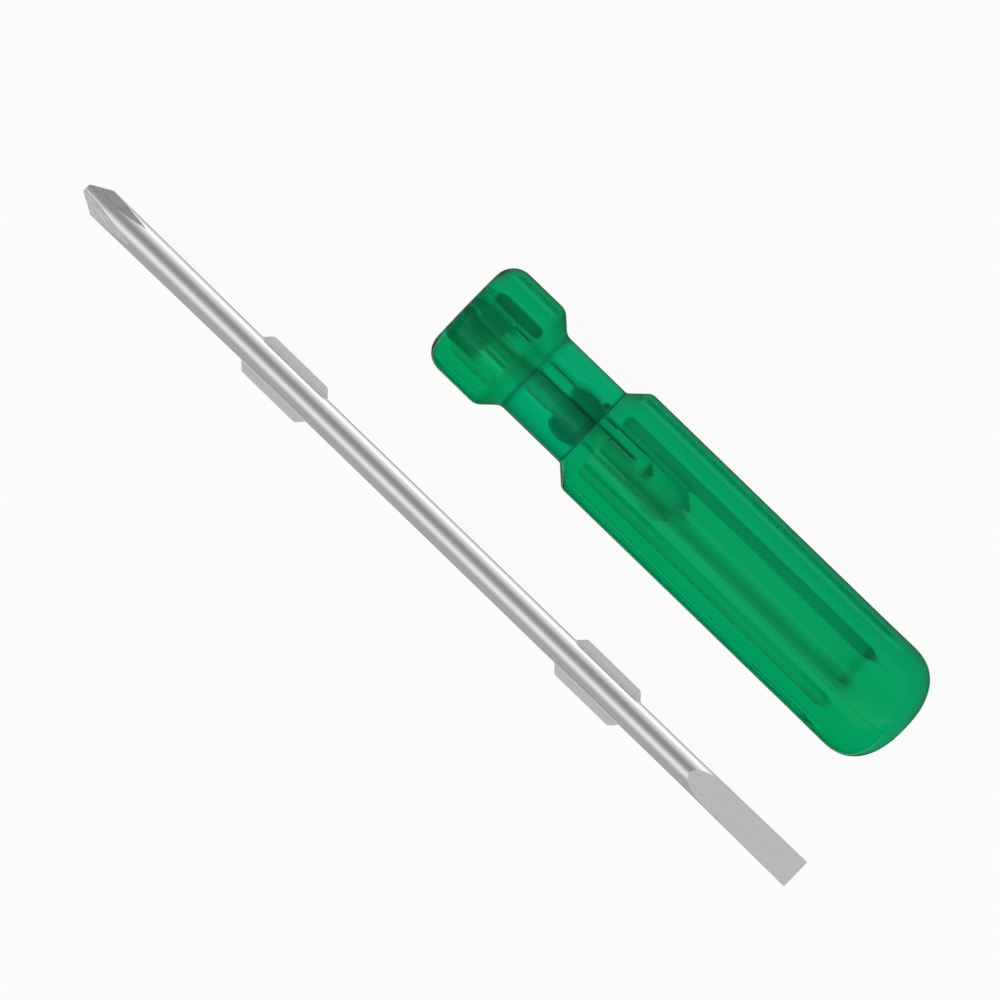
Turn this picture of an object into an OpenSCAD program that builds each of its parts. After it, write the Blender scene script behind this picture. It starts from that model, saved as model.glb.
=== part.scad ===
// Reversible screwdriver taken apart: a fluted clear handle with a winged socket, the elastic bush
// that grips the shank in the handle's neck, and a blade with a cross point and a flat tip.
// The blade lies beside the handle, parallel to it, and both rest on the plane z = 0.
// Each piece is drawn along +z from its front end, and laid down along +x at the end of this file.

/* [Handle] */
// Length from the flat face of the head to the end of the dome
handle_len = 117.5; // [100:0.5:140]
// Diameter of the head and the body, over the flutes
handle_d = 25.5; // [22:0.1:30]
// Length of the head, to where its rear cone starts
head_len = 14.2; // [11.5:0.1:18]
// Radius of the head's front corner
head_corner_r = 4.6; // [1:0.1:5.5]
// Radius of the corner between the head and its rear cone
head_rear_r = 3; // [0.5:0.1:5]
// Diameter of the neck
neck_d = 18.6; // [14:0.1:21]
// Length of the neck's straight stretch
neck_len = 16; // [12:0.1:24]
// Radius of the fillet between the head's rear cone and the neck
neck_fillet_r = 2.5; // [0.5:0.1:5]
// Angle of the cones beside the neck, to the axis
shoulder_deg = 43; // [30:1:60]
// Radius of the corner between the front cone and the body
body_corner_r = 2; // [0.5:0.1:5]
// Length of the domed end
dome_len = 9.7; // [6:0.1:13]
// Fullness of the dome: 2 is an ellipse, more is squarer
dome_power = 2.4; // [2:0.1:4]

/* [Flutes] */
// Number of flutes around the handle
flute_count = 12; // [6:1:16]
// Depth of a flute
flute_depth = 0.35; // [0.25:0.05:0.6]
// Radius of a flute's round section
flute_r = 3.3; // [2.2:0.1:4.4]
// Distance from the end of a body flute to the end of the handle
flute_end_gap = 13.4; // [12:0.1:25]
// Length of the taper at the end of a body flute
flute_taper = 2.6; // [0.5:0.1:6]
// Turn of the flutes about the axis, from one that faces straight down
flute_turn = 4; // [0:1:30]

/* [Socket] */
// Radial clearance between the blade's wider end and the bore
bore_clear = 0.1; // [0.05:0.01:0.4]
// Clearance all round a wing in its slot
slot_clear = 0.15; // [0.05:0.01:0.4]
// Depth of the wing slot from the flat face
slot_depth = 9.4; // [6:0.1:12]
// Turn of the wing slot about the axis, from the plane that the handle lies on
slot_turn = 33; // [0:1:90]
// Gap left between the blade's end and the straight wall's end when the wings are seated
end_gap = 0.5; // [0.2:0.1:3]
// Half angle of the cone that ends the socket
socket_cone_deg = 30; // [25:1:60]

/* [Grip bush] */
// Largest diameter of the bush
bush_d = 8.4; // [7.8:0.1:10]
// Diameter of the bush at its ends
bush_end_d = 6.8; // [6.8:0.1:7.4]
// Length of the bush
bush_len = 8.2; // [5:0.1:11]
// Distance from the head's flat face to the middle of the bush
bush_pos = 29.9; // [25:0.1:36]
// Radial clearance between the shank and the bush
bush_bore_clear = 0.15; // [0.13:0.01:0.2]
// Gap between the bush and its pocket
pocket_gap = 0.1; // [0.05:0.01:0.2]

/* [Blade] */
// Length of the blade from point to tip
blade_len = 191.4; // [170:0.1:230]
// Diameter of the shank
shank_d = 6; // [5.6:0.1:6.2]
// Diameter of the shank behind the cross point, from which it narrows as far as the nearer wings
point_root_d = 6.5; // [6.2:0.1:6.8]
// Distance from each end of the blade to the nearer pair of wings
wing_pos = 44.6; // [36:0.1:50]
// Length of a wing where it leaves the shank
wing_len = 17.7; // [10:0.1:24]
// Width across a pair of wings
wing_span = 9.4; // [8.5:0.1:12]
// Thickness of a wing
wing_t = 1.6; // [1.2:0.1:2]
// Length of the slope at each end of a wing
wing_slope = 1.7; // [0.4:0.1:3]
// Radius of a wing's outer corners
wing_corner_r = 1.1; // [0.2:0.1:2]

/* [Cross point] */
// Half angle of the point
point_deg = 29; // [22:0.5:34]
// Diameter of the point's blunt end
point_d = 1.8; // [1.4:0.1:3]
// Length of the flutes, from the blunt end to where they run out
point_flute_len = 13; // [9:0.5:20]
// Radius of the web that the flutes leave at the blunt end
web_r = 0.55; // [0.45:0.05:0.8]
// Angle of a flute's section
point_flute_deg = 104; // [85:1:110]

/* [Flat tip] */
// Length of the flat, from its start on the shank to the edge
flat_len = 28.5; // [20:0.5:36]
// Length of the curved run-in at the start of the flat
flat_run = 5; // [3:0.5:10]
// Radius of the run-in's curve
flat_run_r = 8; // [3:1:20]
// Thickness of the flat at the end of its run-in
flat_root_t = 1.9; // [1.4:0.1:2.6]
// Thickness at the edge
tip_t = 1; // [0.6:0.1:1.3]
// Width at the edge
tip_w = 6.5; // [6.2:0.1:7]

/* [Lay-out] */
// Distance between the axes of the handle and the blade
lay_gap = 34.8; // [22:0.1:60]
// Distance from the middle of the blade back to the head's flat face
lay_shift = 26.6; // [0:0.1:60]

/* [Hidden] */
$fn = 96;

// Overshoot of a cutter past the surface that it opens
over = 1;
// Straight pieces in a rounded corner and in the dome
arc_steps = 8;
dome_steps = 14;

handle_r = handle_d / 2;
neck_r = neck_d / 2;
shoulder_len = (handle_r - neck_r) / tan(shoulder_deg);
neck_start = head_len + shoulder_len;
neck_end = neck_start + neck_len;
body_start = neck_end + shoulder_len;
dome_start = handle_len - dome_len;

shank_r = shank_d / 2;
tip_r = tip_w / 2;
point_r = point_d / 2;
point_root_r = point_root_d / 2;
point_len = (point_root_r - point_r) / tan(point_deg);
flat_start = blade_len - flat_len;
// A wing's slopes start just inside the shank's surface
wing_root_r = 0.95 * shank_r;

bore_r = max(point_root_r, tip_r) + bore_clear;
socket_depth = slot_depth + wing_pos + end_gap;
bush_bore_r = shank_r + bush_bore_clear;

flute_axis_r = handle_r - flute_depth + flute_r;

// Across, the box round both pieces has its middle at y = 0
handle_y = (lay_gap + wing_span / 2 - handle_r) / 2;
blade_y = handle_y - lay_gap;

function unit(v) = v / norm(v);

// The points that round the corner q between p and s, with radius r or the most that the sides allow
function corner(p, q, s, r) =
    let (
        u = unit(p - q),
        v = unit(s - q),
        half = acos(u * v) / 2,
        fit_r = min(r, tan(half) * min(norm(p - q), norm(s - q)) / 2),
        centre = q + unit(u + v) * fit_r / sin(half),
        first = q + u * fit_r / tan(half) - centre,
        turn = sign(u.y * v.x - u.x * v.y) * (2 * half - 180)
    )
    [for (i = [0 : arc_steps]) let (a = -turn * i / arc_steps)
        centre + [first.x * cos(a) - first.y * sin(a), first.x * sin(a) + first.y * cos(a)]];

// A closed outline from corners [x, y] that stay sharp and corners [x, y, radius] that are rounded
function rounded(list) =
    let (n = len(list), at = function (i) let (c = list[(i + n) % n]) [c.x, c.y])
    [for (i = [0 : n - 1])
        each is_undef(list[i][2]) ? [at(i)] : corner(at(i - 1), at(i), at(i + 1), list[i][2])];

// The dome is a superellipse of the handle's radius and its own length, from just past its foot
function dome_points() =
    [for (i = [1 : dome_steps]) let (a = 90 * i / dome_steps)
        [handle_r * pow(cos(a), 2 / dome_power), dome_start + dome_len * pow(sin(a), 2 / dome_power)]];

// Outline of a flat pair of wings that crosses the axis, sloped at both ends, from z = 0 to z = length
function wing_outline(half_span, root, length) =
    let (slope = min(wing_slope, length / 3))
    rounded([
        [-root, 0], [root, 0],
        [half_span, slope, wing_corner_r], [half_span, length - slope, wing_corner_r],
        [root, length], [-root, length],
        [-half_span, length - slope, wing_corner_r], [-half_span, slope, wing_corner_r]
    ]);

// A flat plate of an outline drawn in y and z, centred on the plane x = 0
module plate(outline, thickness)
    rotate([90, 0, 90])
        linear_extrude(thickness, center = true)
            polygon(outline);

// Flutes of round section, straight from z0 to z1 and then running out over the taper
module flutes(z0, z1)
    for (i = [0 : flute_count - 1])
        rotate(flute_turn + 360 * i / flute_count)
            translate([flute_axis_r, 0, 0]) {
                translate([0, 0, z0])
                    cylinder(h = z1 - z0, r = flute_r);
                translate([0, 0, z1])
                    cylinder(h = flute_taper * flute_r / flute_depth, r1 = flute_r, r2 = 0);
            }

module handle_blank()
    rotate_extrude()
        polygon(concat(
            rounded([
                [0, 0],
                [handle_r, 0, head_corner_r],
                [handle_r, head_len, head_rear_r],
                [neck_r, neck_start, neck_fillet_r],
                [neck_r, neck_end],
                [handle_r, body_start, body_corner_r],
                [handle_r, dome_start]
            ]),
            dome_points()
        ));

// The bush's barrel section, grown outwards by a gap: an arc of a circle between two flat ends
module barrel(gap) {
    sag = (bush_d - bush_end_d) / 2;
    arc_r = (sag * sag + bush_len * bush_len / 4) / (2 * sag) + gap;
    half_len = bush_len / 2 + gap;
    intersection() {
        translate([bush_d / 2 + gap - arc_r, 0])
            circle(arc_r, $fn = 360);
        translate([0, -half_len])
            square([bush_d, 2 * half_len]);
    }
}

module socket() {
    translate([0, 0, -over])
        cylinder(h = socket_depth + over, r = bore_r);
    translate([0, 0, socket_depth])
        cylinder(h = bore_r / tan(socket_cone_deg), r1 = bore_r, r2 = 0);
    translate([0, 0, bush_pos])
        rotate_extrude()
            barrel(pocket_gap);
    rotate(slot_turn)
        translate([0, 0, -slot_depth])
            plate(wing_outline(wing_span / 2 + slot_clear, bore_r, 2 * slot_depth), wing_t + 2 * slot_clear);
}

module handle()
    color([0, 0.6, 0.36, 0.85])
        difference() {
            handle_blank();
            flutes(-over, neck_start);
            flutes(neck_end, handle_len - flute_end_gap - flute_taper);
            socket();
        }

module grip_bush()
    color([0.2, 0.16, 0.12])
        translate([0, 0, bush_pos])
            rotate_extrude()
                difference() {
                    barrel(0);
                    translate([0, -bush_len])
                        square([bush_bore_r, 2 * bush_len]);
                }

// One V-shaped groove of the cross point, whose floor climbs from the web to the shank's surface
module point_flute() {
    climb_deg = atan((shank_r - web_r) / point_flute_len);
    side = 2 * shank_r;
    translate([web_r, 0, 0])
        rotate([0, climb_deg, 0])
            translate([0, 0, -over])
                linear_extrude(point_flute_len + 2 * shank_r)
                    polygon([
                        [0, 0],
                        [side, side * tan(point_flute_deg / 2)],
                        [side, -side * tan(point_flute_deg / 2)]
                    ]);
}

// What is ground away on one side of the flat tip, drawn in x and z
module flat_cut()
    rotate([90, 0, 0])
        linear_extrude(2 * tip_w, center = true)
            polygon(rounded([
                [shank_r, flat_start],
                [flat_root_t / 2, flat_start + flat_run, flat_run_r],
                [tip_t / 2, blade_len],
                [tip_t / 2, blade_len + over],
                [tip_w, blade_len + over],
                [tip_w, flat_start]
            ]));

module blade()
    color([0.78, 0.78, 0.8]) {
        difference() {
            rotate_extrude()
                polygon([
                    [0, 0],
                    [point_r, 0],
                    [point_root_r, point_len],
                    [shank_r, wing_pos],
                    [shank_r, flat_start],
                    [tip_r, blade_len],
                    [0, blade_len]
                ]);
            for (i = [0 : 3])
                rotate(45 + 90 * i)
                    point_flute();
            for (side = [0, 1])
                mirror([side, 0, 0])
                    flat_cut();
        }
        for (z = [wing_pos, blade_len - wing_pos - wing_len])
            translate([0, 0, z])
                plate(wing_outline(wing_span / 2, wing_root_r, wing_len), wing_t);
    }

// Lays a piece down along +x, with its front end at x
module lay(x, y, z)
    translate([x, y, z])
        rotate([0, 90, 0])
            children();

lay(-lay_shift, handle_y, handle_r) handle();
lay(-lay_shift, handle_y, handle_r) grip_bush();
lay(-blade_len / 2, blade_y, point_root_r) blade();
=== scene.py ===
import bpy
import numpy as np
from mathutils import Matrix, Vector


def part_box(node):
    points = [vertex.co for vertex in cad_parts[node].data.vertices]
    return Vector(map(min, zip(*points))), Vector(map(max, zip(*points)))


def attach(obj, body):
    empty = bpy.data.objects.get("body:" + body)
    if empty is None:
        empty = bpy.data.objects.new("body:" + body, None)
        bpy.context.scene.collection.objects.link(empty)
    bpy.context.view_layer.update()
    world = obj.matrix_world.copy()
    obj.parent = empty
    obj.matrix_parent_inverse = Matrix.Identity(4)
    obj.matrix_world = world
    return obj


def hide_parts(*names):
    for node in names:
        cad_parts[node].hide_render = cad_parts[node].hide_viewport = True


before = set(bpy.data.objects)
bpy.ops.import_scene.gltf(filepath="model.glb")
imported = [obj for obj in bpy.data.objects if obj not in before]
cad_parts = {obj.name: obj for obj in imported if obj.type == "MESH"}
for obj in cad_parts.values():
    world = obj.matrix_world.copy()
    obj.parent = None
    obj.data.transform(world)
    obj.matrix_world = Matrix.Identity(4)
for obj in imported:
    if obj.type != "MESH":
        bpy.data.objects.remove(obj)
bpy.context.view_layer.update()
mm = 0.001  # sizes below are in millimetres and degrees, meshes are in metres
farOff = 9  # a distance from an axis that no wing, slot or flat reaches


# Smooth minimum of two heights: where they differ by less than the blend, the lower one
# gives way by a quarter of the blend times the square of how close they are
def softMin(a, b, blend):
    close = np.clip(1 - np.abs(a - b) / blend, 0, 1)
    return np.minimum(a, b) - close ** 2 * blend / 4


def softMax(a, b, blend):
    return -softMin(-a, -b, blend)


# Smooth step from 0 at low to 1 at high
def smooth(value, low, high):
    share = np.clip((value - low) / (high - low), 0, 1)
    return share * share * (3 - 2 * share)


# 1 between two smooth steps, each given by where it begins and where it is complete, and 0 outside them
def between(value, start, end):
    return smooth(value, *start) * (1 - smooth(value, *end))


# How far a rectangle reaches along an angle off its long axis: half width / cos or half thickness / sin,
# whichever is less, with softened corners
def rectangle(halfWidth, halfThickness, off, edge):
    across = halfWidth / np.maximum(np.abs(np.cos(off)), 1e-3)
    through = halfThickness / np.maximum(np.abs(np.sin(off)), 1e-3)
    return softMin(np.minimum(across, farOff), np.minimum(through, farOff), edge)


# Turns corners (x, r, radius) of a profile into arcs: an arc leaves each side at radius / tan(half the
# corner's angle) from the corner and turns evenly about the centre, which is on the corner's bisector
def roundedProfile(corners, arcPoints):
    points = []
    for i, (x, r, radius) in enumerate(corners):
        corner = np.array([x, r])
        if radius == 0:
            points.append(corner[None])
            continue
        before = np.array(corners[i - 1][:2]) - corner
        after = np.array(corners[i + 1][:2]) - corner
        u, v = before / np.linalg.norm(before), after / np.linalg.norm(after)
        half = np.arccos(u @ v) / 2
        centre = corner + (u + v) / np.linalg.norm(u + v) * radius / np.sin(half)
        first = corner + u * radius / np.tan(half) - centre
        last = corner + v * radius / np.tan(half) - centre
        turn = np.linspace(0, 1, arcPoints)[:, None]
        sweep = np.pi - 2 * half
        arc = (np.sin((1 - turn) * sweep) * first + np.sin(turn * sweep) * last) / np.sin(sweep)
        points.append(centre + arc)
    return np.vstack(points)


# Makes a closed piece from a grid of points: columns run round and close on themselves, and either the
# first and last rows close on single points (poles), or the rows close on themselves as well (a ring)
def gridPiece(name, grid, poles=None, sharpAngle=40, attributes=None):
    rows, cols = grid.shape[:2]
    vertices = grid.reshape(-1, 3)
    index = np.arange(rows * cols).reshape(rows, cols)
    upper = index if poles is None else index[:-1]
    lower = np.roll(index, -1, 0) if poles is None else index[1:]
    quads = np.stack([upper, lower, np.roll(lower, -1, 1), np.roll(upper, -1, 1)], -1).reshape(-1, 4)
    fans = np.zeros((0, 3), int)
    if poles is not None:
        vertices = np.vstack([vertices, poles])
        start, end = np.full(cols, rows * cols), np.full(cols, rows * cols + 1)
        fans = np.vstack([
            np.stack([start, index[0], np.roll(index[0], -1)], -1),
            np.stack([end, np.roll(index[-1], -1), index[-1]], -1)])
    # six times the enclosed volume is negative where the faces look inwards
    a, b, c, d = (vertices[quads[:, k]] for k in range(4))
    volume = np.einsum("ij,ij->", a, np.cross(b, c)) + np.einsum("ij,ij->", a, np.cross(c, d))
    flip = slice(None, None, -1) if volume < 0 else slice(None)
    faces = quads[:, flip].tolist() + fans[:, flip].tolist()

    mesh = bpy.data.meshes.new(name)
    mesh.from_pydata(vertices.tolist(), [], faces)
    for label, values in (attributes or {}).items():
        padded = np.append(values.reshape(-1), np.zeros(len(vertices) - rows * cols))
        mesh.attributes.new(label, "FLOAT", "POINT").data.foreach_set("value", padded.astype(np.float32))
    mesh.shade_smooth()
    mesh.set_sharp_from_angle(angle=np.radians(sharpAngle))
    mesh.validate()
    piece = bpy.data.objects.new(name, mesh)
    bpy.context.scene.collection.objects.link(piece)
    print(name, "has", len(mesh.vertices), "points and", len(mesh.polygons), "faces")
    return piece


# A value in a node tree: arithmetic on it adds Math nodes
class Signal:
    def __init__(self, finish, socket):
        self.finish, self.socket = finish, socket

    def maths(self, operation, *terms):
        node = self.finish.node("ShaderNodeMath", {"operation": operation}, dict(enumerate(terms)))
        return Signal(self.finish, node.outputs[0])

    def __add__(self, other):
        return self.maths("ADD", self, other)

    def __radd__(self, other):
        return self.maths("ADD", other, self)

    def __sub__(self, other):
        return self.maths("SUBTRACT", self, other)

    def __rsub__(self, other):
        return self.maths("SUBTRACT", other, self)

    def __mul__(self, other):
        return self.maths("MULTIPLY", self, other)

    def __rmul__(self, other):
        return self.maths("MULTIPLY", other, self)

    def __pow__(self, other):
        return self.maths("POWER", self, other)

    def size(self):
        return self.maths("ABSOLUTE", self)

    # 0 below low, 1 above high and a smooth step between; low above high turns it round
    def step(self, low, high):
        node = self.finish.node("ShaderNodeMapRange", {"interpolation_type": "SMOOTHSTEP"},
                                {"Value": self, "From Min": low, "From Max": high})
        return Signal(self.finish, node.outputs[0])


# A material, or the world, under construction: node() adds any node, and the other methods add common ones
class Finish:
    def __init__(self, owner):
        owner.use_nodes = True
        self.owner, self.tree = owner, owner.node_tree
        self.tree.nodes.clear()

    def node(self, kind, settings=None, values=None):
        node = self.tree.nodes.new(kind)
        for key, value in (settings or {}).items():
            setattr(node, key, value)
        for key, value in (values or {}).items():
            if isinstance(value, Signal):
                value = value.socket
            elif isinstance(value, bpy.types.Node):
                value = value.outputs[0]
            if isinstance(value, bpy.types.NodeSocket):
                self.tree.links.new(value, node.inputs[key])
            else:
                node.inputs[key].default_value = value
        return node

    def output(self, kind, surface):
        self.node(kind, values={"Surface": surface})
        return self.owner

    def attribute(self, name):
        return Signal(self, self.node("ShaderNodeAttribute", {"attribute_name": name}).outputs["Fac"])

    def parts(self, vector):
        return [Signal(self, out) for out in self.node("ShaderNodeSeparateXYZ", values={0: vector}).outputs]

    def coordinates(self, kind="Object"):
        return self.node("ShaderNodeTexCoord").outputs[kind]

    # noise from about 0 to 1, with grains as long as size says, in millimetres, along x, y and z
    def noise(self, size, detail=3.0):
        scale = tuple(1 / (s * mm) for s in size)
        place = self.node("ShaderNodeMapping", values={"Vector": self.coordinates(), "Scale": scale})
        node = self.node("ShaderNodeTexNoise", {"normalize": True},
                         {"Vector": place, "Scale": 1.0, "Detail": detail, "Roughness": 0.55})
        return Signal(self, node.outputs[0])

    def blend(self, factor, first, second):
        node = self.node("ShaderNodeMix", {"data_type": "RGBA"}, {0: factor, 6: first, 7: second})
        return node.outputs[2]

    def bump(self, height, depth):
        return self.node("ShaderNodeBump", values={"Height": height, "Distance": depth * mm, "Strength": 1.0})

    # 1 for rays of one kind, and 0 for others
    def rays(self, kind):
        return Signal(self, self.node("ShaderNodeLightPath").outputs[kind])


# Gives a piece its material and body and hides the nodes that it stands for; its slot is not used
def settle(piece, material, body, slot, *nodes):
    piece.data.materials.append(material)
    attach(piece, body)
    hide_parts(*nodes)


# handle: one surface from the pole of its dome over the outside, in at the socket's mouth and on to the
# socket's tip
handle = dict(length=117.5, radius=12.75, headLength=14.2, frontCorner=4.6, rearCorner=3.0,
              neckRadius=9.3, neckLength=16.0, neckFillet=2.5, neckCrease=1.0, shoulderAngle=43,
              bodyCorner=2.0, domeLength=9.7, domePower=2.4,
              fluteCount=12, fluteDepth=0.35, fluteRadius=3.3, fluteTurn=4, fluteEnd=13.4, fluteTaper=2.6,
              fluteEdge=0.4, seamHeight=0.06, seamHalfWidth=0.2, seamAngle=109, seamStart=70, seamRise=12)
socket = dict(radius=3.35, depth=54.5, coneAngle=30, slotTurn=33, slotHalfWidth=4.85, slotHalfThickness=0.95,
              slotDepth=9.4, slotSlope=1.7, slotCorner=1.1, slotEdge=0.12, mouthEdge=0.25,
              pocketMiddle=29.9, pocketHalfLength=4.2, pocketRadius=4.3, pocketEndRadius=3.47)

handleLow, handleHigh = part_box("handle")
handleAxis = np.array([handleLow.x, (handleLow.y + handleHigh.y) / 2, (handleLow.z + handleHigh.z) / 2]) / mm


# Where the columns of the handle's grid stand, as angles from +y towards +z: close together in the flutes and
# at their edges, at the slot's corners, on the two seams and at the edge of the socket's dark strip
def handleColumns():
    h, s = handle, socket
    centre = h["radius"] - h["fluteDepth"] + h["fluteRadius"]
    cosine = (h["radius"] ** 2 + centre ** 2 - h["fluteRadius"] ** 2) / (2 * h["radius"] * centre)
    # in halves of a flute's width: its floor, its edge and the land beside it
    half = np.degrees(np.arccos(cosine)) * np.concatenate([
        np.arange(0, 0.7, 0.175), np.arange(0.7, 1.33, 0.06), [1.5, 1.8, 2.2]])
    cell = np.concatenate([-half[:0:-1], half])
    first, pitch = 90 + h["fluteTurn"], 360 / h["fluteCount"]
    flutes = first + pitch * np.arange(h["fluteCount"])[:, None] + cell[None]
    tip = np.degrees(np.arctan2(s["slotHalfThickness"], s["slotHalfWidth"]))
    root = np.degrees(np.arcsin(s["slotHalfThickness"] / s["radius"]))
    corners = np.concatenate([corner + np.array([-0.7, 0, 0.7]) for corner in (tip, root)])
    corners = s["slotTurn"] + np.concatenate([corners, -corners, 180 + corners, 180 - corners])
    seam = h["seamAngle"] + np.array([-1.4, -0.9, -0.45, 0, 0.45, 0.9, 1.4])
    strip = np.arange(72, 84.5, 1.5)
    columns = np.concatenate([flutes.ravel(), corners, seam, seam + 180, strip])
    return np.radians(np.unique(np.round(columns % 360, 2)))


# Length of a shoulder, and where the neck starts and ends
def neckSpan():
    h = handle
    shoulder = (h["radius"] - h["neckRadius"]) / np.tan(np.radians(h["shoulderAngle"]))
    start = h["headLength"] + shoulder
    return shoulder, start, start + h["neckLength"]


# Radius of the outside over x: the rounded profile of head, neck and body, and the dome as a superellipse
# in which (r / radius) ^ power + (distance from the dome's foot / its length) ^ power is 1
def handleProfile():
    h = handle
    shoulder, neckStart, neckEnd = neckSpan()
    foot = h["length"] - h["domeLength"]
    front = roundedProfile([
        (0, 0, 0), (0, h["radius"], h["frontCorner"]), (h["headLength"], h["radius"], h["rearCorner"]),
        (neckStart, h["neckRadius"], h["neckFillet"]), (neckEnd, h["neckRadius"], h["neckCrease"]),
        (neckEnd + shoulder, h["radius"], h["bodyCorner"]), (foot, h["radius"], 0)], 11)[1:]
    lean = np.linspace(0, np.pi / 2, 30)[1:-1]
    dome = np.stack([foot + h["domeLength"] * np.sin(lean) ** (2 / h["domePower"]),
                     h["radius"] * np.cos(lean) ** (2 / h["domePower"])], -1)
    profile = np.vstack([front, dome])
    fluteEnd = h["length"] - h["fluteEnd"]
    # further rows on the head, in the neck, at its rear corner, along the body and at the flutes' ends
    extra = np.concatenate([np.linspace(2, 12, 3), np.linspace(20, 31, 3), np.linspace(32.2, 35.8, 7),
                            np.linspace(45, 95, 4), fluteEnd - h["fluteTaper"] * np.linspace(1.2, -0.1, 20)])
    x = np.unique(np.concatenate([profile[:, 0], extra]))
    return x, np.interp(x, profile[:, 0], profile[:, 1])


# Radius at which a flute cuts: the flute's circle of radius rho lies c from the axis, so along an angle d from
# it the near side is at c cos d - sqrt(rho^2 - (c sin d)^2); past the circle's edge nothing is cut.
# Over the taper at the flute's end, rho shrinks until the flute is gone
def fluteFloor(x, angle):
    h = handle
    pitch = 2 * np.pi / h["fluteCount"]
    first = np.pi / 2 + np.radians(h["fluteTurn"])
    off = (angle - first + pitch / 2) % pitch - pitch / 2
    centre = h["radius"] - h["fluteDepth"] + h["fluteRadius"]
    taperStart = h["length"] - h["fluteEnd"] - h["fluteTaper"]
    shrink = 1 - (x - taperStart) * h["fluteDepth"] / (h["fluteTaper"] * h["fluteRadius"])
    rho = h["fluteRadius"] * np.clip(shrink, 0, 1)
    inside = rho ** 2 - (centre * np.sin(off)) ** 2
    cut = centre * np.cos(off) - np.sqrt(np.maximum(inside, 0))
    return np.where(inside > 0, cut, centre)


# Half width of the slot over its depth: full, then a rounded corner and a slope down to the bore
def slotWidth(depth):
    s = socket
    outline = roundedProfile([
        (0, s["slotHalfWidth"], 0), (s["slotDepth"] - s["slotSlope"], s["slotHalfWidth"], s["slotCorner"]),
        (s["slotDepth"], s["radius"], 0)], 12)
    return np.interp(depth, outline[:, 0], outline[:, 1])


# Section of the socket: the larger of the bore's circle and, in the head, the slot's rectangle
def socketSection(depth, angle):
    s = socket
    off = angle - np.radians(s["slotTurn"])
    slot = rectangle(slotWidth(depth), s["slotHalfThickness"], off, s["slotEdge"])
    whole = softMax(slot, s["radius"] + 0 * slot, s["slotEdge"] / 2)
    return np.where(depth < s["slotDepth"], whole, s["radius"])


# Rows of the socket from its mouth inwards, as depth and radius: rounded mouth, slot, bore, the barrel
# pocket as an arc through its end and middle radii, bore, and the cone
def socketRows(angle):
    s = socket
    turn = np.linspace(0, np.pi / 2, 6)[:, None]
    mouthDepth = s["mouthEdge"] * (1 - np.cos(turn))
    mouth = socketSection(mouthDepth * 0, angle) + s["mouthEdge"] * (1 - np.sin(turn))
    slotDepth = np.concatenate([np.linspace(2, 7, 3), np.linspace(7.3, s["slotDepth"] - 0.01, 18)])[:, None]
    slot = socketSection(slotDepth, angle)
    along = np.linspace(-1, 1, 17)[:, None]
    sag = s["pocketRadius"] - s["pocketEndRadius"]
    arcRadius = (sag ** 2 + s["pocketHalfLength"] ** 2) / (2 * sag)
    pocket = s["pocketRadius"] - arcRadius + np.sqrt(arcRadius ** 2 - (along * s["pocketHalfLength"]) ** 2)
    pocketDepth = s["pocketMiddle"] + along * s["pocketHalfLength"]
    coneLength = s["radius"] / np.tan(np.radians(s["coneAngle"]))
    cone = np.linspace(0, 0.96, 6)[:, None]
    # rows stand closer together where the paint on the wall changes
    front = np.array([s["slotDepth"] + 0.02, 12, 15.5, 16.2, 16.9, 17.6, 21, pocketDepth[0, 0]])[:, None]
    rear = np.concatenate([[pocketDepth[-1, 0], 34.6, 35.2, 36, 39, 42.5],
                           np.linspace(43.2, 49.4, 12), [52]])[:, None]
    depth = np.vstack([mouthDepth, slotDepth, front, pocketDepth, rear, s["depth"] + coneLength * cone])
    flat = np.ones_like(angle)[None]
    radius = np.vstack([mouth, slot, s["radius"] + 0 * front * flat, pocket * flat,
                        s["radius"] + 0 * rear * flat, s["radius"] * (1 - cone) * flat])
    return depth * flat, radius, s["depth"] + coneLength


# Painted shade and roughness on the socket's wall, as shares from 0 to 1 at the points of the grid: angles are
# in degrees from +y towards +z, depths in millimetres from the mouth, and a pair says where a smooth step
# begins and is complete
wallShadeAndFrost = dict(
    strip=((78, 83), (146, 158)), stripFade=(100, 125), stripFadePart=0.4,
    stripThin=(34, 38), stripThinPart=0.5, stripEnd=(41, 49), stripDark=0.95,
    far=((78, 86), (226, 236)), farEnd=(7.2, 9.2), farDark=0.55,
    near=((44, 48), (76, 80)), nearEnd=(8.8, 9.6), nearSlant=0.05, nearPivot=75, nearDark=0.9, nearRough=0.4,
    patchDepth=30.2, upperTurn=60, upperHalf=(4.7, 28), lowerTurn=156, lowerHalf=(4.1, 38), patchEdge=(0, 0.3),
    rear=((66, 74), (165, 180)), rearStart=(31.3, 32.8), rearPart=0.6, pocketStep=0.05, patchDark=0.6,
    arrowTurn=73, arrowHalf=29, arrowBack=(46.2, 46.8), arrowTip=48.9, arrowLength=2.4, arrowEdge=(-1, 4),
    frost=((125, 150), (230, 250)), frostStart=(33, 35), frostPart=0.5, endStart=(44.5, 46), endPart=0.6,
    tipStart=(49, 51), tipPart=0.25, clear=((40, 48), (104, 114)), clearEnd=(49, 50.5),
    lineTurn=79.5, lineShift=5.5, lineWidth=5.5, lineWiden=1.5, lineBehind=(33, 35.5),
    otherTurn=16, otherWidth=9, otherPart=0.8, lineSpan=((16.5, 17.5), (43.5, 45)))


# The slot's walls get painted shade and roughness on the blade's side and at the other wing, and on the near
# side to a slanted end
def slotShadeAndFrost(depth, turn):
    w = wallShadeAndFrost
    far = between(turn, *w["far"]) * (1 - smooth(depth, *w["farEnd"]))
    slanted = depth - w["nearSlant"] * (w["nearPivot"] - turn)
    near = between(turn, *w["near"]) * (1 - smooth(slanted, *w["nearEnd"]))
    return far, near
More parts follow.
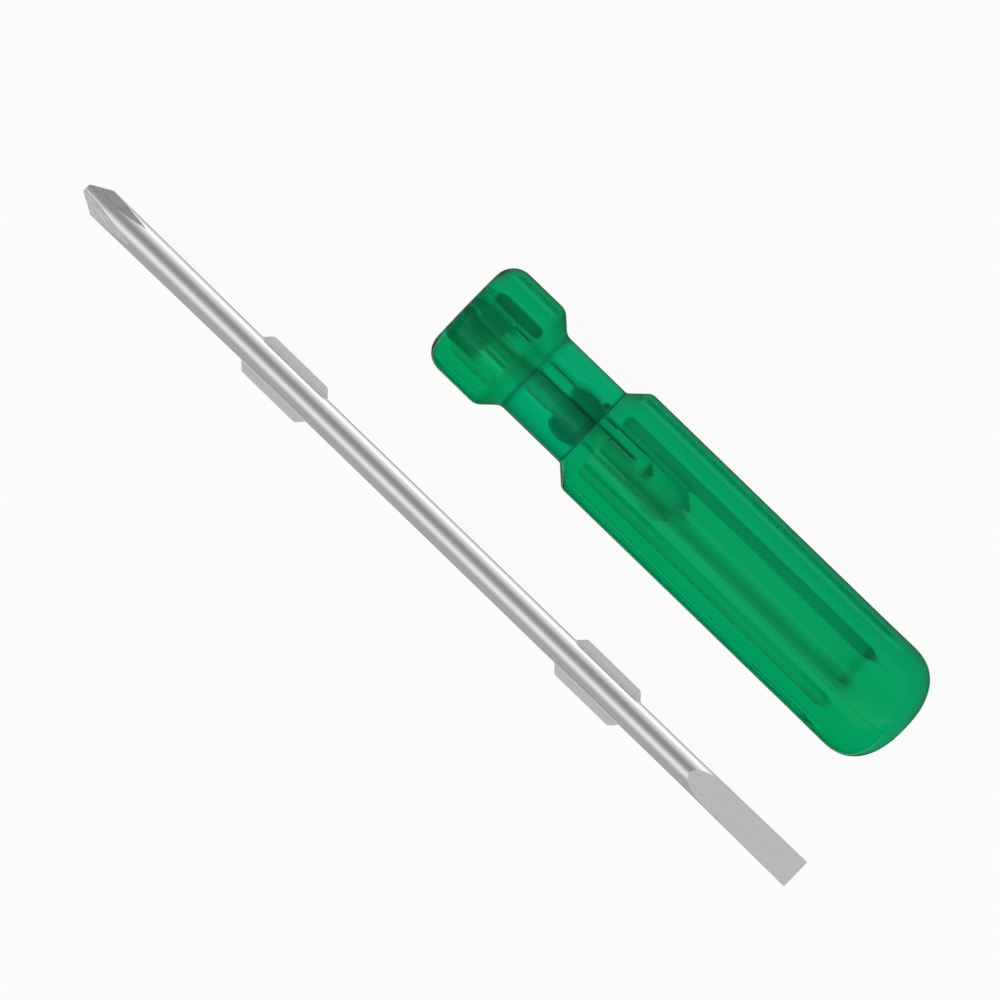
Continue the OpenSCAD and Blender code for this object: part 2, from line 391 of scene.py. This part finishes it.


# The pocket's wall has two round patches of painted shade, also rough, one to each side of the strip, and one
# at its rear end:
# a round patch is 1 less the squares of the distance from its middle, along and round, in halves of its size
def pocketPatches(depth, turn, radius):
    w = wallShadeAndFrost
    patches = [1 - ((depth - w["patchDepth"]) / halfLength) ** 2 - ((turn - middle) / halfTurn) ** 2
               for middle, (halfLength, halfTurn) in ((w["upperTurn"], w["upperHalf"]),
                                                      (w["lowerTurn"], w["lowerHalf"]))]
    rear = smooth(depth, *w["rearStart"]) * between(turn, *w["rear"])
    patch = np.maximum(smooth(np.maximum(*patches), *w["patchEdge"]), w["rearPart"] * rear)
    return patch * (radius > socket["radius"] + w["pocketStep"]) * (depth > socket["slotDepth"])


# Near the bore's end a dark arrowhead of painted shade shows: from a straight back its edges come together at a
# point
def arrowhead(depth, turn):
    w = wallShadeAndFrost
    half = w["arrowHalf"] * (w["arrowTip"] - depth) / w["arrowLength"]
    return smooth(depth, *w["arrowBack"]) * smooth(half - np.abs(turn - w["arrowTurn"]), *w["arrowEdge"])


# How dark the socket's wall is painted, all of it painted shade: mostly along a strip on the blade's side of
# its top, which fades behind the neck
def socketShade(depth, turn, radius):
    w = wallShadeAndFrost
    strip = between(turn, *w["strip"]) * (1 - w["stripFadePart"] * smooth(turn, *w["stripFade"]))
    thin = 1 - w["stripThinPart"] * smooth(depth, *w["stripThin"])
    strip = strip * thin * (1 - smooth(depth, *w["stripEnd"]))
    far, near = slotShadeAndFrost(depth, turn)
    return np.maximum.reduce([
        w["stripDark"] * strip, w["farDark"] * far, w["nearDark"] * near,
        w["patchDark"] * pocketPatches(depth, turn, radius), arrowhead(depth, turn)])


# How rough the socket's wall is: in the slot and the pocket where shade is painted, and frosted on the blade's
# side behind the pocket and all round near its end, apart from where the arrowhead shows
def socketRough(depth, turn, radius):
    w = wallShadeAndFrost
    far, near = slotShadeAndFrost(depth, turn)
    beside = smooth(depth, *w["frostStart"]) * between(turn, *w["frost"])
    clear = between(turn, *w["clear"]) * (1 - smooth(depth, *w["clearEnd"]))
    end = (w["endPart"] + w["tipPart"] * smooth(depth, *w["tipStart"])) * smooth(depth, *w["endStart"])
    return np.maximum.reduce([
        far, w["nearRough"] * near, pocketPatches(depth, turn, radius),
        w["frostPart"] * beside, end * (1 - clear)])


# Painted shade: the strip's edge shows as a thin dark line from the neck on, and so does the bore's other edge
# behind the pocket
def edgeShade(depth, turn):
    w = wallShadeAndFrost
    behind = smooth(depth, *w["lineBehind"])
    off = turn - w["lineTurn"] + w["lineShift"] * behind
    line = np.exp(-(off / (w["lineWidth"] + w["lineWiden"] * behind)) ** 2)
    other = w["otherPart"] * behind * np.exp(-((turn - w["otherTurn"]) / w["otherWidth"]) ** 2)
    return np.maximum(line, other) * between(depth, *w["lineSpan"])


# Painted shade on the outside, in the same way: one flute darker and matt, the steep ends of all flutes, a band
# on the blade's side of the flute nearest the top and a short line in the next one; the corners beside the neck
# are only made rough
outerShadeAndMatt = dict(fluteTurn=64, fluteRise=(0.12, 0.35), bodyPart=0.65, endAt=0.7, endGain=4, endLength=1.3,
            band=((87, 103.5), (105, 109)), bandSpan=((38, 41), (103, 106)),
            lineTurn=120.5, lineWidth=2.2, lineSpan=((36.8, 37.6), (45, 50)), linePart=0.8,
            cornerStart=(-1.2, 0.3), cornerEnd=(1, 2.2), rearPart=0.7, rearLength=0.8)


def outerPaint(x, angle, radius, groove):
    h, d = handle, outerShadeAndMatt
    turn = np.degrees(angle)
    # one flute is made matt and painted darker, painted shade
    flute = np.abs(turn - d["fluteTurn"]) < 180 / h["fluteCount"]
    matt = smooth(groove, *d["fluteRise"]) * flute * np.where(x < 2 * h["headLength"], 1.0, d["bodyPart"])
    # painted shade where each flute's steep end runs out
    runOut = h["length"] - h["fluteEnd"] - d["endAt"] * h["fluteTaper"]
    end = np.clip(d["endGain"] * groove, 0, 1) * np.exp(-((x - runOut) / d["endLength"]) ** 2)
    band = between(turn, *d["band"]) * between(x, *d["bandSpan"])
    line = np.exp(-((turn - d["lineTurn"]) / d["lineWidth"]) ** 2) * between(x, *d["lineSpan"])
    neckStart, neckEnd = neckSpan()[1:]
    corner = smooth(x - h["headLength"], *d["cornerStart"]) * (1 - smooth(x - neckStart, *d["cornerEnd"]))
    rear = d["rearPart"] * np.exp(-((x - neckEnd) / d["rearLength"]) ** 2)
    slim = np.clip((h["radius"] - radius) / (h["radius"] - h["neckRadius"]), 0, 1)
    return {"groove": groove, "mattShadedFlute": matt, "fluteEndShade": end,
            "fluteShade": np.maximum(band, d["linePart"] * line),
            "crease": np.maximum(corner, rear) + 0 * angle, "slim": slim + 0 * angle}


def buildHandle():
    h = handle
    angle = handleColumns()
    x, radius = handleProfile()
    x, radius = x[::-1, None], radius[::-1, None]  # from the dome to the face
    outside = softMin(radius + 0 * angle, fluteFloor(x, angle), h["fluteEdge"])
    # the mould's seam: a low ridge along one line of the rear, and along the opposite one
    away = np.minimum(np.abs(angle - np.radians(h["seamAngle"])),
                      np.abs(angle - np.radians(h["seamAngle"] + 180)))
    rise = np.clip((x - h["seamStart"]) / h["seamRise"], 0, 1)
    ridge = np.exp(-(away * radius / h["seamHalfWidth"]) ** 2) * rise
    outside = outside + h["seamHeight"] * ridge
    groove = np.clip((radius - outside) / h["fluteDepth"], 0, 1)
    depth, inside, tip = socketRows(angle)
    share = np.array([0.3, 0.6, 0.85])[:, None]
    face = outside[-1:] * (1 - share) + inside[:1] * share
    along = np.vstack([x + 0 * angle, 0 * face, depth])
    reach = np.vstack([outside, face, inside])
    grid = np.stack([handleAxis[0] + along, handleAxis[1] + reach * np.cos(angle),
                     handleAxis[2] + reach * np.sin(angle)], -1)
    poles = handleAxis + np.array([[h["length"], 0, 0], [tip, 0, 0]])

    outer = dict(outerPaint(x, angle, radius, groove), seam=ridge)
    turn = np.degrees(angle)[None] + 0 * depth
    inner = {"within": 0 * inside + 1, "wallShade": socketShade(depth, turn, inside),
             "edgeShade": edgeShade(depth, turn), "mattWall": socketRough(depth, turn, inside)}
    attributes = {name: np.vstack([values, 0 * face, 0 * inside]) for name, values in outer.items()}
    attributes |= {name: np.vstack([0 * outside, 0 * face, values]) for name, values in inner.items()}
    return gridPiece("clear_handle", grid * mm, poles * mm, sharpAngle=35, attributes=attributes)


# clear green plastic: its tint is in the surface, so that what is thin, or carries painted shade, can have one
# of its own
plastic = dict(colour=(0.001, 0.375, 0.113, 1), shade=(0.001, 0.345, 0.104, 1), neck=(0.001, 0.40, 0.175, 1),
               # far is painted light: a little lighter and bluer on the side away from the blade
               far=(0.001, 0.385, 0.15, 1), paintedLightReach=0.8, thin=(0.004, 0.68, 0.27, 1),
               # groove is the colour of painted shade in and beside the flutes
               thinFrom=(0.74, 0.80), thinTo=(0.97, 0.95), groove=(0.001, 0.06, 0.018, 1),
               grooveShadePart=0.1, mattShadePart=0.8, shadePart=0.68, endShadePart=0.45, seamPart=0.25,
               # the socket wall's brown and near-black colours are painted shade
               within=(0.85, 0.95, 0.9, 1), wallShade=(0.22, 0.13, 0.09, 1), edgeShade=(0.03, 0.02, 0.015, 1),
               ior=1.48, gloss=(0.1, 0.45, 0.3, 1), roughness=0.08, haze=0.03, scuffRoughness=0.10,
               mattRoughness=0.35, wallRoughness=0.6, creaseRoughness=0.3, grooveRoughness=0.22, bump=0.012)


def plasticFinish():
    p = plastic
    f = Finish(bpy.data.materials.new("clear_green_plastic"))
    cloud = f.noise((30, 12, 12), 2.0)
    scuff = f.noise((9, 0.35, 0.35), 4.0).step(0.60, 0.75)
    grain = f.noise((2.2, 1.4, 1.4), 2.0)
    groove, matt = f.attribute("groove"), f.attribute("mattShadedFlute")
    # painted shade: the flutes' floors, the darker flute, its band and line and the flutes' ends are darkened
    # towards the groove colour, and the mould's seam too
    dark = (p["grooveShadePart"] * groove.step(0.1, 0.6) + p["mattShadePart"] * matt
            + p["shadePart"] * f.attribute("fluteShade") + p["endShadePart"] * f.attribute("fluteEndShade")
            + p["seamPart"] * f.attribute("seam"))
    colour = f.blend(cloud.step(0.35, 0.7), p["colour"], p["shade"])
    colour = f.blend(f.attribute("slim"), colour, p["neck"])
    # painted light: the side away from the blade is a little lighter and bluer
    side = f.parts(f.coordinates())[1] - handleAxis[1] * mm
    colour = f.blend(side.step(0, p["paintedLightReach"] * handle["radius"] * mm), colour, p["far"])
    colour = f.blend(dark, colour, p["groove"])
    # little plastic lies behind the flutes at the sides
    out = side.size() * (1 / (handle["radius"] * mm))
    thin = out.step(*p["thinFrom"]) * out.step(*p["thinTo"]) * groove.step(0.0, 0.2)
    colour = f.blend(thin, colour, p["thin"])
    # the socket's wall is clear, with painted shade in brown where the bore, slot, pocket and arrowhead look
    # dark
    wall = f.blend(f.attribute("wallShade"), p["within"], p["wallShade"])
    wall = f.blend(f.attribute("edgeShade"), wall, p["edgeShade"])
    colour = f.blend(f.attribute("within"), colour, wall)
    rough = (p["roughness"] + p["haze"] * cloud + p["scuffRoughness"] * scuff + p["mattRoughness"] * matt
             + p["wallRoughness"] * f.attribute("mattWall") + p["creaseRoughness"] * f.attribute("crease")
             + p["grooveRoughness"] * groove.step(0.0, 0.25))
    shader = f.node("ShaderNodeBsdfPrincipled", values={
        "Base Color": colour, "Roughness": rough, "IOR": p["ior"], "Transmission Weight": 1.0,
        "Specular Tint": p["gloss"], "Normal": f.bump(0.7 * grain + 0.3 * scuff, p["bump"])})
    return f.output("ShaderNodeOutputMaterial", shader)


settle(buildHandle(), plasticFinish(), "handle", "handle_plastic", "handle")

# grip bush: a ring of barrel section
bush = dict(middle=29.9, halfLength=4.1, radius=4.2, endRadius=3.4, bore=3.15, edge=0.1)


# Section of the bush as one closed line, turned about the axis: an arc outside through the end and middle
# radii, rounded edges, flat ends and a straight bore
def buildBush():
    b = bush
    sag = b["radius"] - b["endRadius"]
    arcRadius = (sag ** 2 + b["halfLength"] ** 2) / (2 * sag)
    along = np.linspace(-1, 1, 25) * (b["halfLength"] - b["edge"])
    barrel = np.stack([along, b["radius"] - arcRadius + np.sqrt(arcRadius ** 2 - along ** 2)], -1)
    lip, bevel = barrel[-1, 1], 0.3 * b["edge"]
    end = np.array([[b["halfLength"] - bevel, lip - bevel], [b["halfLength"], lip - b["edge"]],
                    [b["halfLength"], b["bore"] + b["edge"]], [b["halfLength"] - b["edge"], b["bore"]]])
    section = np.vstack([barrel, end, (end * [-1, 1])[::-1]])
    angle = np.linspace(0, 2 * np.pi, 97)[:-1]
    x, r = section[:, :1], section[:, 1:]
    grid = np.stack([handleAxis[0] + b["middle"] + x + 0 * angle, handleAxis[1] + r * np.cos(angle),
                     handleAxis[2] + r * np.sin(angle)], -1)
    return gridPiece("rubber_bush", grid * mm)


# brown rubber: it lets some light through, and is brown by its depth
rubber = dict(light=(1.0, 0.98, 0.96, 1), dark=(0.96, 0.94, 0.92, 1), body=(0.55, 0.35, 0.22, 1), density=160.0,
              ior=1.05, roughness=0.05, cloudRoughness=0.15, bump=0.03)


def rubberFinish():
    f = Finish(bpy.data.materials.new("brown_rubber"))
    cloud = f.noise((3, 2, 2), 3.0)
    grain = f.noise((0.25, 0.25, 0.25), 2.0)
    shader = f.node("ShaderNodeBsdfPrincipled", values={
        "Base Color": f.blend(cloud, rubber["light"], rubber["dark"]), "IOR": rubber["ior"],
        "Roughness": rubber["roughness"] + rubber["cloudRoughness"] * cloud,
        "Transmission Weight": 1.0, "Normal": f.bump(grain, rubber["bump"])})
    depth = f.node("ShaderNodeVolumeAbsorption", values={"Color": rubber["body"], "Density": rubber["density"]})
    f.node("ShaderNodeOutputMaterial", values={"Surface": shader, "Volume": depth})
    return f.owner


settle(buildBush(), rubberFinish(), "handle", "bush_rubber", "grip_bush")

# blade: one surface round its axis, from the blunt end of the cross point to the edge of the flat tip
blade = dict(length=191.4, radius=3.0, rootRadius=3.25, wingStart=44.6, wingLength=17.7,
             wingHalfSpan=4.7, wingHalfThickness=0.8, wingFoot=2.85, wingSlope=1.7, wingCorner=1.1,
             wingEdge=0.2, wingRoot=0.35,
             pointAngle=29, pointRadius=0.9, fluteLength=13.0, webRadius=0.55, fluteAngle=104,
             flatLength=28.5, flatRun=5.0, flatRunRadius=8.0, flatRootHalf=0.95, tipHalf=0.5, tipRadius=3.25)

bladeLow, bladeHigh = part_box("blade")
bladeAxis = np.array([bladeLow.x, (bladeLow.y + bladeHigh.y) / 2, bladeLow.z + blade["rootRadius"] * mm]) / mm
quarter = 48  # columns in a quarter turn, from the wings' plane to the top


# Spreads a row's columns so that the given angles, in degrees from the wings' plane, fall on given columns
def spread(columns, angles):
    return np.interp(np.arange(quarter + 1), columns, angles)


# A quarter turn of angles carried round the axis: mirrored to a half turn and turned to the other half
def wholeTurn(angles):
    half = np.concatenate([angles, 180 - angles[..., -2:0:-1]], -1)
    return np.radians(np.concatenate([half, half + 180], -1))


# Half width of the wings over x: a slope out of the shank, a rounded corner, full span and the same again
def wingReach(x):
    b = blade
    slope = [(0, b["wingFoot"], 0), (b["wingSlope"], b["wingHalfSpan"], b["wingCorner"])]
    outline = roundedProfile(
        slope + [(b["wingLength"] - s[0], s[1], s[2]) for s in slope[::-1]], 12)
    far = b["length"] - b["wingStart"] - b["wingLength"]
    near = np.interp(x - b["wingStart"], outline[:, 0], outline[:, 1], 0, 0)
    return np.maximum(near, np.interp(x - far, outline[:, 0], outline[:, 1], 0, 0))


# Half thickness of the flat tip over x: a slope with a rounded foot, then a straight wedge to the edge
def flatHalf(x):
    b = blade
    start = b["length"] - b["flatLength"]
    outline = roundedProfile([
        (start, b["radius"], 0), (start + b["flatRun"], b["flatRootHalf"], b["flatRunRadius"]),
        (b["length"], b["tipHalf"], 0)], 16)
    return np.interp(x, outline[:, 0], outline[:, 1], farOff)


# Radius of the bar over x before it is cut: the point's cone, a slow narrowing to the wings, the shank,
# and a slow widening along the flat
def barRadius(x):
    b = blade
    pointLength = (b["rootRadius"] - b["pointRadius"]) / np.tan(np.radians(b["pointAngle"]))
    return np.interp(x, [0, pointLength, b["wingStart"], b["length"] - b["flatLength"], b["length"]],
                     [b["pointRadius"], b["rootRadius"], b["radius"], b["radius"], b["tipRadius"]]), pointLength


# Floor of the cross point's grooves over x: a straight climb from the web
def grooveFloor(x):
    return blade["webRadius"] + (blade["radius"] - blade["webRadius"]) * x / blade["fluteLength"]


# Rows along the blade, with the angles of their columns. On the cross point the columns follow the edges and
# floors of its grooves, at the wings they crowd at their edges and roots, and on the flat they follow the edge
# of the ground face; between these the angles pass over evenly, row by row, so that the round shank stays round
def bladeRows():
    b = blade
    pointLength = barRadius(0)[1]
    flatStart = b["length"] - b["flatLength"]
    far = b["length"] - b["wingStart"] - b["wingLength"]
    # rows on the point, the shank, both pairs of wings and between them, the shank again and the flat
    ramp = np.linspace(0.2, 3.2, 26)
    wing = np.concatenate([[-0.15, 0.1], ramp, np.linspace(4, 13.5, 5), b["wingLength"] - ramp[::-1],
                           b["wingLength"] + np.array([-0.1, 0.15])])
    pointX = np.unique(np.concatenate([np.linspace(0, pointLength, 9), np.linspace(pointLength, 14.4, 27)]))
    firstX = np.linspace(14.8, 42, 22)
    middleX = np.concatenate([[43.6], b["wingStart"] + wing, np.linspace(63.4, 128, 14), far + wing, [147.6]])
    lastX = np.linspace(148.2, flatStart - 0.15, 30)
    flatX = flatStart + np.concatenate([np.linspace(0.0, 1.0, 10) ** 2 * 3, np.linspace(3.4, 10, 18),
                                        np.linspace(11.5, b["flatLength"], 9)])

    q = quarter
    lean = 90 - b["fluteAngle"] / 2
    depth = np.minimum(grooveFloor(pointX) / barRadius(pointX)[0], 1)
    edge = np.maximum(np.degrees(np.arccos(depth * np.cos(np.radians(lean)))) - lean, 4)
    pointTurn = np.array([spread([0, q / 4, q / 2, 3 * q / 4, q], [0, 45 - e, 45, 45 + e, 90]) for e in edge])
    corner = np.degrees(np.arcsin(np.minimum(flatHalf(flatX) / barRadius(flatX)[0], np.sin(np.radians(86)))))
    flatTurn = np.array([spread([0, 20, q], [0, e, 90]) for e in corner])
    wingTurn = spread([0, 6, 14, 22, q], [0, 8, 11.5, 19, 90])
    share = np.linspace(0, 1, len(firstX) + 1)[1:, None]
    firstTurn = pointTurn[-1] * (1 - share) + wingTurn * share
    share = np.linspace(0, 1, len(lastX) + 1)[1:, None]
    lastTurn = wingTurn * (1 - share) + flatTurn[0] * share
    x = np.concatenate([pointX, firstX, middleX, lastX, flatX])
    turn = np.vstack([pointTurn, firstTurn, np.tile(wingTurn, (len(middleX), 1)), lastTurn, flatTurn])
    return x[:, None], wholeTurn(turn)


# Radius of the blade over x and angle: the cone and shank, cut by four grooves whose planes stand at half the
# groove's angle to its floor, joined with the wings' rectangle and cut by the flat's two faces
def buildBlade():
    b = blade
    x, angle = bladeRows()
    girth, pointLength = barRadius(x)
    off = (angle + 1e-9) % (np.pi / 2) - np.pi / 4
    opening = np.cos(off) - np.abs(np.sin(off)) / np.tan(np.radians(b["fluteAngle"] / 2))
    narrow, uncut = 0.02, 99
    groove = np.where(opening > narrow, grooveFloor(x) / np.maximum(opening, narrow), uncut)
    ground = np.minimum(girth, groove)
    wing = rectangle(wingReach(x), b["wingHalfThickness"], angle, b["wingEdge"])
    winged = softMax(ground, wing, b["wingRoot"])
    winged = np.where(wingReach(x) > b["radius"], winged, ground)
    face = flatHalf(x) / np.maximum(np.abs(np.sin(angle)), 1e-3)
    reach = np.minimum(winged, face)
    # the wings and the flat are matt, the grooves are milled, and the point's cone is half so
    wingRise, touch, coneMilled = 0.1, 0.01, 0.5
    matt = np.maximum(np.clip((winged - girth) / wingRise, 0, 1), face < winged + touch)
    milled = np.maximum(groove < girth + touch, coneMilled * (x < pointLength - touch))
    grid = np.stack([bladeAxis[0] + x + 0 * angle, bladeAxis[1] + reach * np.cos(angle),
                     bladeAxis[2] + reach * np.sin(angle)], -1)
    poles = bladeAxis + np.array([[0, 0, 0], [b["length"], 0, 0]])
    return gridPiece("steel_blade", grid * mm, poles * mm, sharpAngle=30,
                     attributes={"matt": matt, "milled": milled})


# chromed steel, matt on the wings and the ground flat and streaked in the milled grooves
steel = dict(chrome=(0.61, 0.60, 0.60, 1), bare=(0.715, 0.695, 0.68, 1), worn=(0.60, 0.585, 0.575, 1),
             milled=(0.38, 0.37, 0.37, 1), wornPart=0.45, milledPart=(0.1, 0.6), chromeRoughness=0.2,
             cloudRoughness=0.05, milledRoughness=0.3, mattRoughness=0.5, mattDull=0.55, ringHeight=0.15,
             bump=0.008)


def steelFinish():
    t = steel
    f = Finish(bpy.data.materials.new("chromed_steel"))
    matt, milled = f.attribute("matt").step(0.3, 0.7), f.attribute("milled")
    cloud = f.noise((6, 2, 2))
    ring = f.noise((0.12, 6, 6))
    speck = f.noise((0.3, 0.3, 0.3))
    streak = f.noise((2.5, 0.3, 0.3)).step(0.4, 0.7)
    worn = f.noise((0.7, 0.5, 0.5), 4.0).step(0.40, 0.70)
    colour = f.blend(matt, t["chrome"], f.blend(t["wornPart"] * worn, t["bare"], t["worn"]))
    least, most = t["milledPart"]
    colour = f.blend(milled * (least + most * streak), colour, t["milled"])
    rough = (t["chromeRoughness"] + t["cloudRoughness"] * cloud
             + milled * (t["milledRoughness"] - t["chromeRoughness"])
             + matt * (t["mattRoughness"] - t["chromeRoughness"]))
    height = (1 - matt) * ring * t["ringHeight"] + matt * speck + milled * streak
    shader = f.node("ShaderNodeBsdfPrincipled", values={
        "Base Color": colour, "Roughness": rough, "Metallic": 1 - t["mattDull"] * matt,
        "Normal": f.bump(height, t["bump"])})
    return f.output("ShaderNodeOutputMaterial", shader)


settle(buildBlade(), steelFinish(), "blade", "blade_steel", "blade")

# floor: flat in the middle and turned up far away. It is white to the camera. Through the clear plastic it is
# white close by, and dimmer further off and, on the handle's far side, where it is seen aslant, as on a small
# light table, so that the edges of the plastic come out dark. To gloss it is bright on the blade's side only
stage = dict(rings=(0.4, 1.2), flat=2.2, reach=4.2, rise=1.1, paint=(0.86, 0.86, 0.86, 1),
             cameraShare=0.94, rayShare=0.93, table=(0.040, 0.065), throughDim=0.4, slant=0.7, slantSide=0.002,
             gloss=0.62, glossDim=0.04, glossSide=(0.002, 0.005), beside=0.75, besideEdge=(0.006, 0.009),
             contact=0.42, contactEdge=(0.006, 0.0045))


def buildFloor():
    lift = np.linspace(0, np.pi / 2, 10)[:, None]
    rings = np.array(stage["rings"])[:, None]
    radius = np.vstack([rings, stage["flat"] + (stage["reach"] - stage["flat"]) * np.sin(lift)])
    height = np.vstack([0 * rings, stage["rise"] * (1 - np.cos(lift))])
    angle = np.linspace(0, 2 * np.pi, 65)[:-1]
    grid = np.stack([radius * np.cos(angle), radius * np.sin(angle), height + 0 * angle], -1).reshape(-1, 3)
    rows, cols = len(radius), len(angle)
    index = np.arange(rows * cols).reshape(rows, cols)
    inner, outer = index[:-1], index[1:]
    quads = np.stack([inner, outer, np.roll(outer, -1, 1), np.roll(inner, -1, 1)], -1).reshape(-1, 4)
    mesh = bpy.data.meshes.new("floor")
    mesh.from_pydata(grid.tolist(), [], quads.tolist() + [index[0].tolist()])
    mesh.shade_smooth()
    floor = bpy.data.objects.new("floor", mesh)
    bpy.context.scene.collection.objects.link(floor)

    f = Finish(bpy.data.materials.new("pale_floor"))
    x, y = f.parts(f.coordinates())[:2]
    half = handle["length"] * mm / 2
    beyond = (x - (handleAxis[0] * mm + half)).size() - half
    beyond = beyond.maths("MAXIMUM", beyond, 0)
    beside = y - handleAxis[1] * mm
    away = (beyond * beyond + beside * beside) ** 0.5
    through = f.rays("Is Transmission Ray")
    gloss = f.rays("Is Glossy Ray") * (1 - through)  # a ray through the plastic counts as a glossy one too
    share = stage["cameraShare"] * f.rays("Is Camera Ray") + stage["rayShare"] * (through + gloss)
    aslant = Signal(f, f.node("ShaderNodeLayerWeight", values={"Blend": 0.5}).outputs["Facing"])
    slant = stage["slant"] * beside.step(-stage["slantSide"], stage["slantSide"])
    near = 1 - (1 - stage["throughDim"]) * away.step(*stage["table"])
    seen = near * (1 - slant * aslant)
    # on the blade's side it is dark under the blade and bright before the card
    off = y - bladeAxis[1] * mm
    shown = (stage["gloss"] - stage["glossDim"] + stage["beside"] * off.step(*stage["besideEdge"])
             - stage["contact"] * off.size().step(*stage["contactEdge"]))
    shown = stage["glossDim"] + (-1 * y).step(*stage["glossSide"]) * shown
    white = 1 - through * (1 - seen) - gloss * (1 - shown)
    paint = f.node("ShaderNodeBsdfDiffuse", values={"Color": stage["paint"]})
    glow = f.node("ShaderNodeEmission", values={"Color": white, "Strength": 1.0})
    mesh.materials.append(f.output("ShaderNodeOutputMaterial", f.node(
        "ShaderNodeMixShader", values={0: share, 1: paint, 2: glow})))
    print("floor is in place")


buildFloor()

# light: a soft room with a strip of light along x, high on the blade's side, and a white card beside the blade,
# so that the blade shows the card and not the handle
room = dict(level=0.42, bladeSide=0.15, bladeEdge=(-0.1, 0.7), through=0.95,
            strip=0.8, stripHeight=57, stripPower=12)
card = dict(y=-4.0, x=(-340, 220), z=(0.2, 30.0), bright=1.8, dim=0.42, dimFrom=6.0, dimPower=0.5)


# Light of the room by direction: in the plane across x, the strip gives the cosine of the angle to its middle,
# raised to a power. The camera sees it white, and through the plastic it is a little dimmer
def buildRoom():
    world = bpy.data.worlds.new("room")
    f = Finish(world)
    y, z = f.parts(f.coordinates("Generated"))[1:]
    long = (y * y + z * z + 1e-4) ** 0.5
    across, up = y.maths("DIVIDE", y, long), z.maths("DIVIDE", z, long)
    lean = np.radians(room["stripHeight"])
    near = up * np.sin(lean) - across * np.cos(lean)
    strip = near.maths("MAXIMUM", near, 0) ** room["stripPower"]
    light = room["level"] + room["bladeSide"] * (-1 * across).step(*room["bladeEdge"]) + room["strip"] * strip
    camera, through = f.rays("Is Camera Ray"), f.rays("Is Transmission Ray")
    light = camera + (1 - camera) * light * (1 - (1 - room["through"]) * through)
    f.output("ShaderNodeOutputWorld", f.node("ShaderNodeBackground", values={"Color": light, "Strength": 1.0}))
    bpy.context.scene.world = world
    print("room is in place")


# The card: one upright face that only the blade's gloss sees, dimmer towards its upper edge
def buildCard():
    (x0, x1), (z0, z1), y = card["x"], card["z"], card["y"]
    corners = np.array([[x0, y, z0], [x1, y, z0], [x1, y, z1], [x0, y, z1]]) * mm
    mesh = bpy.data.meshes.new("card")
    mesh.from_pydata(corners.tolist(), [], [[0, 1, 2, 3]])
    holder = bpy.data.objects.new("card", mesh)
    bpy.context.scene.collection.objects.link(holder)
    holder.visible_camera = holder.visible_diffuse = holder.visible_transmission = holder.visible_shadow = False
    f = Finish(bpy.data.materials.new("white_card"))
    height = f.parts(f.coordinates())[2]
    rise = (height - card["dimFrom"] * mm) * (1 / ((z1 - card["dimFrom"]) * mm))
    rise = rise.maths("MAXIMUM", rise, 0) ** card["dimPower"]
    back = Signal(f, f.node("ShaderNodeNewGeometry").outputs["Backfacing"])
    light = (1 - back) * (card["bright"] - (card["bright"] - card["dim"]) * rise)
    mesh.materials.append(f.output("ShaderNodeOutputMaterial", f.node(
        "ShaderNodeEmission", values={"Color": light, "Strength": 1.0})))
    print("card is in place")


buildRoom()
buildCard()

# camera: straight down, turned so that the pieces lie from the upper left to the lower right
camera = dict(lens=400, sensor=36, frameWidth=193.5, turn=44.08, aim=(4.04, -9.15, 8.0))


def buildCamera():
    data = bpy.data.cameras.new("camera")
    data.lens, data.sensor_width = camera["lens"], camera["sensor"]
    holder = bpy.data.objects.new("camera", data)
    away = camera["frameWidth"] * camera["lens"] / camera["sensor"]
    x, y, z = camera["aim"]
    holder.location = (x * mm, y * mm, (z + away) * mm)
    holder.rotation_euler = (0, 0, np.radians(camera["turn"]))
    bpy.context.scene.collection.objects.link(holder)
    bpy.context.scene.camera = holder
    print("camera is in place")


buildCamera()
bpy.context.scene.view_settings.view_transform = "Standard"
